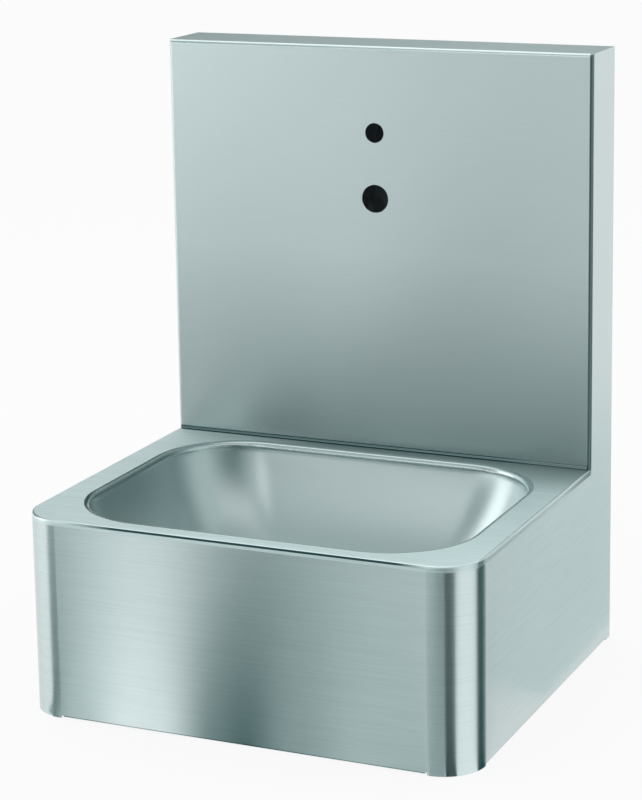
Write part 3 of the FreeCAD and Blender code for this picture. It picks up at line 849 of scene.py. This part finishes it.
def bridge_bar(form, place, side, low):
    """One arm of the bridge, from its boss to the wall of the waste."""
    flat = BAR_HALF_WIDTH - BRIDGE_EDGE
    outline = [(-flat, 0.0), (flat, 0.0), (BAR_HALF_WIDTH, BRIDGE_EDGE), (BAR_HALF_WIDTH, BRIDGE_HEIGHT)]
    outline += [(-BAR_HALF_WIDTH, BRIDGE_HEIGHT), (-BAR_HALF_WIDTH, BRIDGE_EDGE)]
    ends = []
    for x in BAR_ENDS:
        points = [Vector((side * x, y, low + z)) for y, z in outline]
        ends.append([form.verts.new(place @ point) for point in points])
    inner, outer = ends
    form.faces.new(inner)
    form.faces.new(outer)
    for corner in range(len(outline)):
        after = (corner + 1) % len(outline)
        form.faces.new((inner[corner], inner[after], outer[after], outer[corner]))


def waste():
    """Flange with a rounded rim, a threaded tail and the bridge that the strainer's screw goes into."""
    form = bmesh.new()
    flange = extent(WASTE).x / 2
    top = extent(WASTE).z
    underside = top - FLANGE_PROFILE[-1][1]
    seat = flange - SEAT_INSET
    seat_height = top - SEAT_DEPTH
    bore = PIPE_RADIUS - PIPE_WALL
    rings = [(seat, top)]
    rings += [(flange - inset, top - drop) for inset, drop in FLANGE_PROFILE]
    rings += [(PIPE_RADIUS, underside)]
    rings += thread(PIPE_RADIUS, underside - PIPE_NECK, PIPE_RELIEF[1], *PIPE_THREAD)
    rings += [(PIPE_RADIUS - PIPE_THREAD[0], height) for height in reversed(PIPE_RELIEF)]
    rings += thread(PIPE_RADIUS, PIPE_RELIEF[0], PIPE_END, *PIPE_THREAD)
    rings += [(PIPE_RADIUS - PIPE_CHAMFER, 0.0), (bore + BORE_CHAMFER[0], 0.0), (bore, BORE_CHAMFER[1])]
    rings += [(bore, seat_height), (seat, seat_height)]
    place = standing(WASTE, middle(WASTE).x)
    turned(form, rings, place, hollow=True)
    low = seat_height - BRIDGE_HEIGHT
    boss = [(BOSS_BORE, low), (BOSS_RADIUS - BRIDGE_EDGE, low), (BOSS_RADIUS, low + BRIDGE_EDGE)]
    boss += [(BOSS_RADIUS, seat_height), (BOSS_BORE, seat_height)]
    turned(form, boss, place, hollow=True)
    for side in (-1, 1):
        bridge_bar(form, place, side, low)
    piece("waste_threaded", form, "basin", "chrome", "waste_chrome", "waste_body")


def weld_run(form, start, end):
    """A row of drops from the start to the end."""
    run = end - start
    drops = int(run.length / BEAD_PITCH)
    for drop in range(drops + 1):
        turn = Matrix.Rotation(BEAD_TURN * drop, 4, run.normalized())
        matrix = Matrix.Translation(start.lerp(end, drop / drops)) @ turn @ Matrix.Diagonal(BEAD_STRETCH)
        bmesh.ops.create_uvsphere(
            form, u_segments=BEAD_SEGMENTS, v_segments=BEAD_RINGS, radius=BEAD_RADIUS, matrix=matrix
        )


def tie_bar_welds():
    """Rippled weld beads where the tie bar meets the apron's sides."""
    form = bmesh.new()
    low, high = TIE_BAR
    for side in (-1, 1):
        x = side * (high.x - BEAD_SUNK)
        corners = [Vector((x, high.y, low.z)), Vector((x, low.y, low.z)), Vector((x, low.y, high.z))]
        for start, end in zip(corners, corners[1:]):
            weld_run(form, start, end)
    piece("tie_bar_welds", form, "basin", "weld", "bracket_steel")


def rounded_reach(x, y, radius):
    """How far a rounded rectangle with these half sizes reaches at an angle."""
    def reach(angle):
        across, along = abs(math.cos(angle)), abs(math.sin(angle))
        if across * (y - radius) >= along * x:
            return x / across
        if along * (x - radius) >= across * y:
            return y / along
        centre_x, centre_y = x - radius, y - radius
        middle_way = across * centre_x + along * centre_y
        return middle_way + math.sqrt(middle_way ** 2 - centre_x ** 2 - centre_y ** 2 + radius ** 2)
    return reach


def pressed_bowl():
    """The bowl's inside from the weld down to the drain, and its outside back up."""
    half_x = extent(BOWL).x / 2
    half_y = extent(BOWL).y / 2
    lip_width = LIP_FLAT + LIP_RADIUS
    floor = DECK_TOP - BOWL_DEPTH
    wall_inset = half_y - lip_width - FLOOR_HALF_LENGTH
    corner_loss = (BOWL_CORNER - lip_width - FLOOR_CORNER) / wall_inset

    def outline(inset, come_in, height):
        shrink = inset + come_in
        radius = BOWL_CORNER - inset - come_in * corner_loss
        return (rounded_reach(half_x - shrink, half_y - shrink, radius), height)

    def lip(radius, top):
        rings = []
        for turn in spaced(0, math.pi / 2, LIP_STEPS):
            inset = LIP_FLAT + radius * math.sin(turn)
            rings.append(outline(inset, 0, top - radius + radius * math.cos(turn)))
        return rings

    def walls(inset, bottom):
        fall = BOWL_NECK - bottom
        rings = []
        for turn in spaced(0, math.pi / 2, WALL_STEPS):
            drop = fall * math.sin(turn)
            come_in = drop * WALL_SLOPE + (wall_inset - fall * WALL_SLOPE) * (1 - math.cos(turn))
            rings.append(outline(inset, come_in, BOWL_NECK - drop))
        return rings

    dish = floor - DISH_DROP
    recess = dish - RECESS_DEPTH
    cup = RECESS_RADIUS + SHEET
    cup_rise = DISH_DROP * SHEET / (DISH_RADIUS - RECESS_RADIUS)
    inside = [outline(0, 0, DECK_TOP)] + lip(LIP_RADIUS, DECK_TOP) + walls(lip_width, floor)
    inside += [(DISH_RADIUS, floor), (RECESS_RADIUS, dish), (RECESS_RADIUS, recess), (DRAIN_RADIUS, recess)]
    outside = [outline(0, 0, DECK_TOP - SHEET)] + lip(LIP_RADIUS - SHEET, DECK_TOP - SHEET)
    outside += walls(lip_width - SHEET, floor - SHEET)
    outside += [(DISH_RADIUS, floor - SHEET), (cup, dish - SHEET + cup_rise), (cup, recess - SHEET)]
    outside += [(DRAIN_RADIUS, recess - SHEET)]
    form = bmesh.new()
    centre = middle(BOWL)
    place = Matrix.Translation((centre.x, centre.y, 0))
    turned(form, inside + outside[::-1], place, hollow=True, steps=BOWL_STEPS)
    piece("pressed_bowl", form, "basin", "bowl", "satin_steel", "bowl")


def stage_mesh(name, corners, faces, material):
    """A mesh that belongs to the studio."""
    mesh = bpy.data.meshes.new(name)
    mesh.from_pydata(corners, [], faces)
    mesh.materials.append(material)
    obj = bpy.data.objects.new(name, mesh)
    bpy.context.scene.collection.objects.link(obj)
    return obj


def seen_directly(tree):
    """One for rays that see the background: straight, in metal or through glass."""
    path = tree.nodes.new("ShaderNodeLightPath").outputs
    total = math_node(tree, "ADD", path["Is Camera Ray"], path["Is Glossy Ray"])
    total = math_node(tree, "ADD", total, path["Is Transmission Ray"])
    return math_node(tree, "MINIMUM", total, 1.0)


def stage_material(name):
    """A studio material, whose glow is not sampled as a lamp."""
    material = bpy.data.materials.new(name)
    material.use_nodes = True
    material.cycles.emission_sampling = "NONE"
    return material, material.node_tree, material.node_tree.nodes["Material Output"]


def pale_floor():
    """Nearly white where it is seen, with enough of a matt grey left for the shadow."""
    material, tree, output = stage_material("pale_floor")
    bsdf = tree.nodes["Principled BSDF"]
    feed(tree, bsdf, Base_Color=FLOOR_COLOUR, Roughness=FLOOR_ROUGHNESS, Specular_IOR_Level=0.0)
    white = add_node(tree, "ShaderNodeEmission", Strength=1.0)
    blend = tree.nodes.new("ShaderNodeMixShader")
    connect(tree, blend.inputs[0], remap(tree, seen_directly(tree), 0.0, FLOOR_WHITE))
    connect(tree, blend.inputs[1], bsdf.outputs[0])
    connect(tree, blend.inputs[2], white.outputs[0])
    connect(tree, output.inputs["Surface"], blend.outputs[0])
    return material


def floor():
    """The plain pale floor."""
    half = STAGE_SIZE / 2
    corners = [(x, y, FLOOR_Z) for x, y in ((-half, -half), (half, -half), (half, half), (-half, half))]
    stage_mesh("floor", corners, [(0, 1, 2, 3)], pale_floor())


def card_colour(level):
    """The colour of a card: the grey ones are a little blue-green."""
    red = level if level >= 1 else max(level - RED_LOSS, 0)
    return (red, level, level, 1)


def card_material(name, level):
    material, tree, output = stage_material(name)
    tree.nodes.remove(tree.nodes["Principled BSDF"])
    glow = add_node(tree, "ShaderNodeEmission", Color=card_colour(level), Strength=1.0)
    connect(tree, output.inputs["Surface"], glow.outputs[0])
    return material


def card(name, near, far, level):
    """A grey studio card between two rows of points, which only shows in reflections."""
    corners = near + far[::-1]
    last = len(corners) - 1
    faces = [(step, step + 1, last - 1 - step, last - step) for step in range(len(near) - 1)]
    obj = stage_mesh(name, corners, faces, card_material(name, level))
    obj.visible_camera = False
    obj.visible_diffuse = False
    obj.visible_shadow = False
    obj.visible_transmission = False
    return obj


def floor_way(bearing):
    """A direction along the floor; bearings turn from the front towards the left."""
    turn = math.radians(bearing)
    return Vector((-math.sin(turn), -math.cos(turn), 0))


def corner_card(name, x, first, last, reach, level):
    """A floor card that a rounded corner of the apron mirrors to the camera as an upright stripe."""
    centre = Vector((x, CORNER_Y, CARD_Z))
    near, far = [], []
    for bearing in spaced(first, last, CARD_STEPS):
        facing = (bearing - math.degrees(CAMERA_AZIMUTH)) / 2
        start = centre + CORNER_RADIUS * floor_way(facing)
        near.append(start)
        far.append(start + reach * floor_way(bearing))
    card(name, near, far, level)


def wedge(name, x, y, first, last, start, reach, level):
    """A floor card around a point, between two bearings and two distances."""
    centre = Vector((x, y, CARD_Z))
    ways = [floor_way(bearing) for bearing in spaced(first, last, CARD_STEPS)]
    card(name, [centre + start * way for way in ways], [centre + reach * way for way in ways], level)


def fan_card():
    """A card of light and dark rays in front of the apron, spread from a point behind it."""
    stretch = (FAN_BEHIND + FAN_REACH) / FAN_BEHIND
    near = [(x, APRON_FRONT, FAN_Z) for x in FAN_EDGES]
    far = [(FAN_X + (x - FAN_X) * stretch, APRON_FRONT - FAN_REACH, FAN_Z) for x in FAN_EDGES]
    tree = card("card_fan", near, far, 1.0).data.materials[0].node_tree
    x, y, z = axes(tree, tree.nodes.new("ShaderNodeTexCoord").outputs["Object"])
    depth = math_node(tree, "SUBTRACT", APRON_FRONT + FAN_BEHIND, y)
    across = math_node(tree, "DIVIDE", math_node(tree, "SUBTRACT", x, FAN_X), depth)
    across = math_node(tree, "ADD", product(tree, across, FAN_BEHIND), FAN_X)
    first, last = FAN_STOPS[0][0], FAN_STOPS[-1][0]
    ramp = add_node(tree, "ShaderNodeValToRGB", Fac=ranged(tree, across, first, last, 0.0, 1.0))
    stops = ramp.color_ramp.elements
    ramp.color_ramp.interpolation = "EASE"
    while len(stops) < len(FAN_STOPS):
        stops.new(0.5)
    for stop, (place, level) in zip(stops, FAN_STOPS):
        stop.position = (place - first) / (last - first)
        stop.color = card_colour(level)
    feed(tree, tree.nodes["Emission"], Color=ramp.outputs["Color"])


def dome_point(bearing, height):
    """A place on the dome."""
    rise = math.radians(height)
    point = DOME_RADIUS * math.cos(rise) * floor_way(bearing)
    point.z = FLOOR_Z + DOME_RADIUS * math.sin(rise)
    return point


def panel(name, first, last, low, high, level):
    """A curved card on the dome, straight up from its lower to its upper edge."""
    bearings = spaced(first, last, round((last - first) / DOME_STEP))
    near = [dome_point(bearing, low) for bearing in bearings]
    far = [dome_point(bearing, high) for bearing in bearings]
    card(name, near, far, level)


def overhead_light():
    """A soft lamp above, which the camera doesn't see."""
    light = bpy.data.lights.new("overhead_light", "AREA")
    light.shape = "RECTANGLE"
    light.size = LAMP_SIZE
    light.size_y = LAMP_SIZE
    light.energy = LAMP_RADIANCE * LAMP_SIZE ** 2 * math.pi
    obj = bpy.data.objects.new("overhead_light", light)
    obj.location = LAMP_PLACE
    obj.rotation_euler = (LAMP_TARGET - LAMP_PLACE).to_track_quat("-Z", "Y").to_euler()
    obj.visible_camera = False
    bpy.context.scene.collection.objects.link(obj)


def studio_world():
    """An even world that is white where it is seen."""
    world = bpy.data.worlds.new("studio")
    world.use_nodes = True
    tree = world.node_tree
    strength = remap(tree, seen_directly(tree), WORLD_LIGHT, 1.0)
    feed(tree, tree.nodes["Background"], Color=(1, 1, 1, 1), Strength=strength)
    bpy.context.scene.world = world


def photo_camera():
    """The camera at the photograph's viewing angle."""
    az, el = CAMERA_AZIMUTH, CAMERA_ELEVATION
    back = Vector((math.sin(az) * math.cos(el), -math.cos(az) * math.cos(el), math.sin(el)))
    level = Vector((math.cos(az), math.sin(az), 0))
    turn = Matrix.Rotation(CAMERA_ROLL, 3, back)
    right = turn @ level
    up = turn @ back.cross(level)
    data = bpy.data.cameras.new("camera")
    data.lens = LENS
    data.sensor_width = SENSOR_WIDTH
    data.shift_y = SHIFT_Y
    data.clip_end = CLIP_END
    camera = bpy.data.objects.new("camera", data)
    place = PIVOT + CAMERA_DISTANCE * back + CAMERA_RIGHT * right + CAMERA_UP * up
    camera.matrix_world = Matrix.Translation(place) @ Matrix((right, up, back)).transposed().to_4x4()
    bpy.context.scene.collection.objects.link(camera)
    bpy.context.scene.camera = camera


pressed_bowl()
strainer_screw()
locking_screws()
nuts()
earth_stud()
waste()
tie_bar_welds()
floor()
for name, values in CORNER_CARDS.items():
    corner_card(name, *values)
for name, values in WEDGES.items():
    wedge(name, *values)
fan_card()
for name, values in PANELS.items():
    panel(name, *values)
overhead_light()
studio_world()
photo_camera()
bpy.context.scene.view_settings.view_transform = "Standard"
